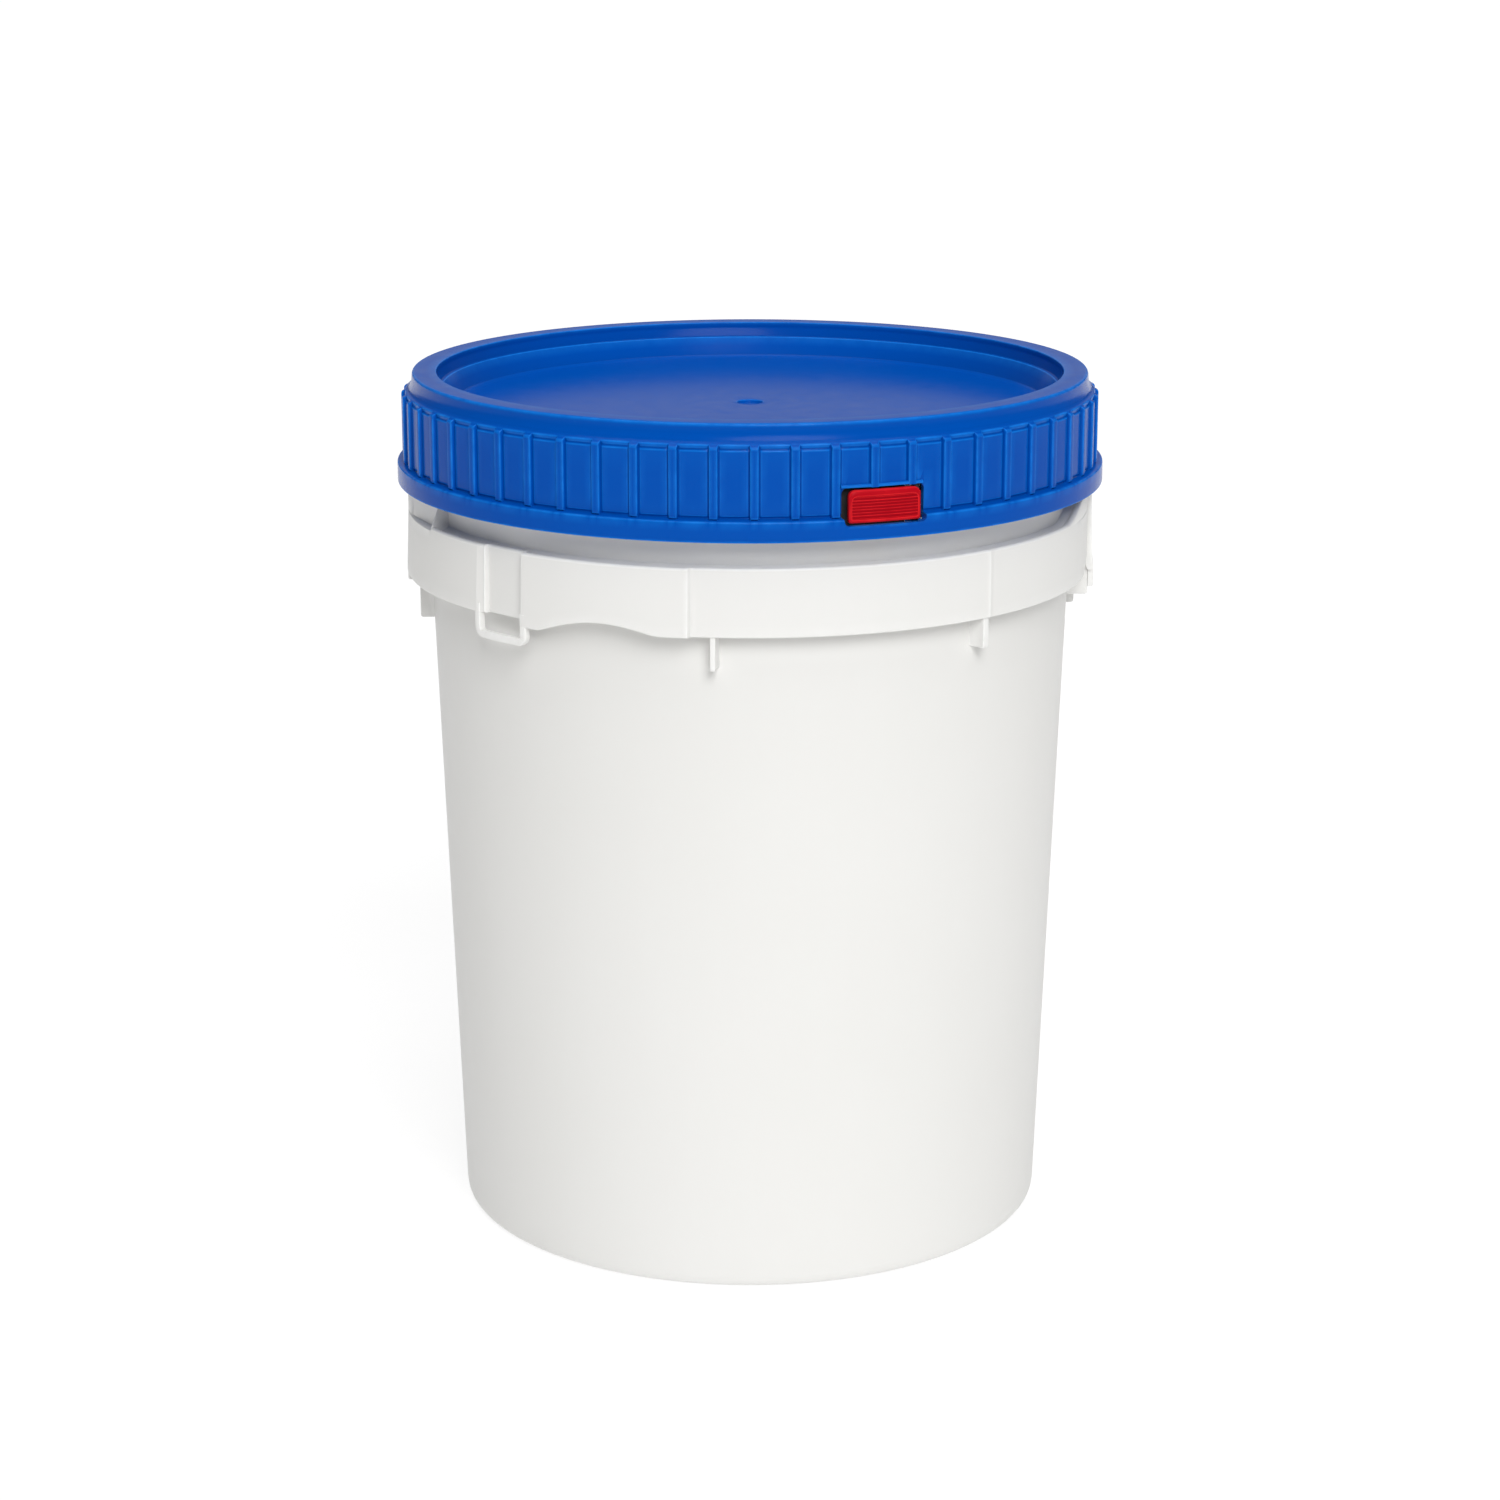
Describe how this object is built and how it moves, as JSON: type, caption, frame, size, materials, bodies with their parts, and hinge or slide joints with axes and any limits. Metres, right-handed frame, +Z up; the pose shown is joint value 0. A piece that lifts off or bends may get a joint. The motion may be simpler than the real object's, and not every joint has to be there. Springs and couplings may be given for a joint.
{
  "type": "wash bucket",
  "caption": "Tapered round screw-top bucket with a ribbed lid that screws on over a gasket, a sprung latch tab in the lid's skirt, and a moulded collar with hanging loops.",
  "frame": {"origin": "centre of the foot ring's plane, on the surface that the bucket stands on", "axes": "+Z up along the bucket's axis; -Y is the front, 21 degrees to the left of the latch as the viewer sees it; +X is the viewer's right"},
  "size_m": [0.304, 0.304, 0.3721],
  "materials": {
    "pail": "satin moulded polyethylene",
    "lid": "satin-gloss moulded polyethylene",
    "gasket": "matt rubber",
    "latch": "satin-gloss moulded plastic with fine grip lines",
    "steel": "bright drawn steel wire"
  },
  "bodies": {
    "bucket": {"pail": "pail"},
    "gasket_lift": {"lid_gasket": "gasket"},
    "lid": {"lid": "lid", "latch_pin": "steel"},
    "latch": {"latch_tab": "latch", "latch_spring": "steel"}
  },
  "joints": [
    {"name": "lid_lift", "type": "slide", "parent": "bucket", "child": "gasket_lift", "axis": [0, 0, 1], "range_m": [0, 0.0601]},
    {"name": "lid_turn", "type": "hinge", "parent": "gasket_lift", "child": "lid", "pos_m": [0, 0, 0.35], "axis": [0, 0, 1], "range_deg": [0, 450]},
    {"name": "latch_pivot", "type": "hinge", "parent": "lid", "child": "latch", "pos_m": [0.06531, -0.13125, 0.3389], "axis": [0, 0, 1], "range_deg": [0, 20], "stiffness_Nm_per_rad": 0.05, "springref_deg": -11.46}
  ],
  "couplings": [
    {"joint": "lid_lift", "follows": "lid_turn", "m_per_rad": 0.0076394}
  ]
}
